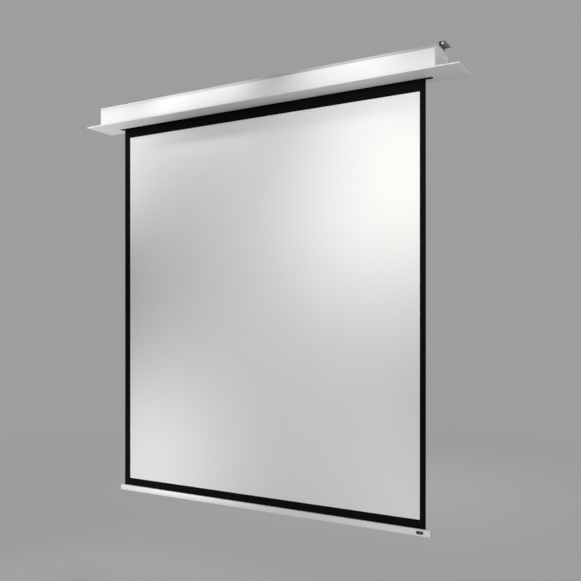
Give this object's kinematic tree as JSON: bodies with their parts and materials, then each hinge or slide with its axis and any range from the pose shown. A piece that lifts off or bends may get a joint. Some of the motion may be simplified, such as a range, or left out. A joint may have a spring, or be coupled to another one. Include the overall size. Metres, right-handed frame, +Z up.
{
  "type": "in-ceiling motorised projection screen",
  "caption": "Recessed ceiling casing with a trim plate and a slot, a tubular-motor roller, and a black-bordered white screen let down to its weighted bottom bar.",
  "frame": {"origin": "middle of the casing's top face", "axes": "+X along the screen to the right as the audience sees it, +Y from the audience to the back, +Z up"},
  "size_m": [2.244, 0.198, 2.286],
  "materials": {
    "white_paint": "smooth white powder coat",
    "cover_grey": "light grey coated sheet, satin",
    "bar_white": "white powder-coated extrusion, satin",
    "dark_steel": "blackened steel, satin",
    "black_bolt": "black oxide steel",
    "zinc_steel": "bright zinc plate",
    "galvanised": "galvanised steel",
    "motor_paint": "dark satin paint on steel tube",
    "black_plastic": "moulded black nylon",
    "badge_black": "plain gloss black oval, bare",
    "grey_plastic": "moulded grey plastic",
    "white_plastic": "moulded white plastic",
    "acetal": "natural acetal, low friction",
    "rubber_black": "black rubber sheath",
    "cloth_white": "matt white coated screen cloth with black back",
    "cloth_black": "matt black mask coating and leader cloth"
  },
  "bodies": {
    "casing": {"front_panel": "white_paint", "rear_panel": "white_paint", "trim_plate": "white_paint", "end_plate_left": "white_paint", "end_plate_right": "white_paint", "top_cover": "cover_grey", "hanger_bracket_left": "dark_steel", "hanger_bracket_right": "dark_steel", "hanger_bolt_left_front": "black_bolt", "hanger_bolt_left_rear": "black_bolt", "hanger_bolt_right_front": "black_bolt", "hanger_bolt_right_rear": "black_bolt", "hanger_nut_left_front": "zinc_steel", "hanger_nut_left_rear": "zinc_steel", "hanger_nut_right_front": "zinc_steel", "hanger_nut_right_rear": "zinc_steel", "trim_nut_left_front": "zinc_steel", "trim_nut_left_rear": "zinc_steel", "trim_nut_right_front": "zinc_steel", "trim_nut_right_rear": "zinc_steel", "cover_screw_left": "zinc_steel", "cover_screw_right": "zinc_steel", "motor_bracket_screw_lower": "zinc_steel", "motor_bracket_screw_upper": "zinc_steel", "idler_bracket_screw_lower": "zinc_steel", "idler_bracket_screw_upper": "zinc_steel", "motor_bracket": "galvanised", "idler_bracket": "galvanised", "motor_cartridge": "galvanised", "motor_tube": "motor_paint", "motor_head": "black_plastic", "cable_gland": "black_plastic", "gland_locknut": "black_plastic", "junction_box": "grey_plastic", "junction_lid": "grey_plastic", "terminal_block": "white_plastic", "idler_bush": "acetal", "motor_lead": "rubber_black", "lead_grommet": "rubber_black"},
    "roller": {"roller_tube": "galvanised", "cloth_wraps": "cloth_black", "limit_crown": "white_plastic", "output_shaft": "zinc_steel", "drive_wheel": "white_plastic", "shaft_clip": "zinc_steel", "idler_plug": "white_plastic", "idler_pin": "zinc_steel"},
    "bottom_bar": {"projection_cloth": "cloth_white", "masking_border": "cloth_black", "weight_bar": "bar_white", "hem_rod": "grey_plastic", "ballast_rod": "galvanised", "bar_cap_left": "white_plastic", "bar_cap_right": "white_plastic", "cap_screw_left": "zinc_steel", "cap_screw_right": "zinc_steel", "bare_badge": "badge_black"},
    "upper_limit_adjuster": {"upper_limit_screw": "white_plastic"},
    "lower_limit_adjuster": {"lower_limit_screw": "white_plastic"}
  },
  "joints": [
    {"name": "bar_travel", "type": "slide", "parent": "casing", "child": "bottom_bar", "axis": [0, 0, 1], "range_m": [0, 2.156], "deforming": ["projection_cloth", "masking_border"]},
    {"name": "roller_spin", "type": "hinge", "parent": "casing", "child": "roller", "pos_m": [0, 0.00732, -0.03896], "axis": [1, 0, 0], "range_deg": [0, 4095]},
    {"name": "upper_limit_turn", "type": "hinge", "parent": "casing", "child": "upper_limit_adjuster", "pos_m": [-0.98985, 0.00732, -0.064], "axis": [0, 0, 1], "range_deg": [-1890, 1890]},
    {"name": "lower_limit_turn", "type": "hinge", "parent": "casing", "child": "lower_limit_adjuster", "pos_m": [-0.97685, 0.00732, -0.064], "axis": [0, 0, 1], "range_deg": [-1890, 1890]}
  ],
  "couplings": [
    {"joint": "roller_spin", "follows": "bar_travel", "rad_per_m": 33.1}
  ]
}
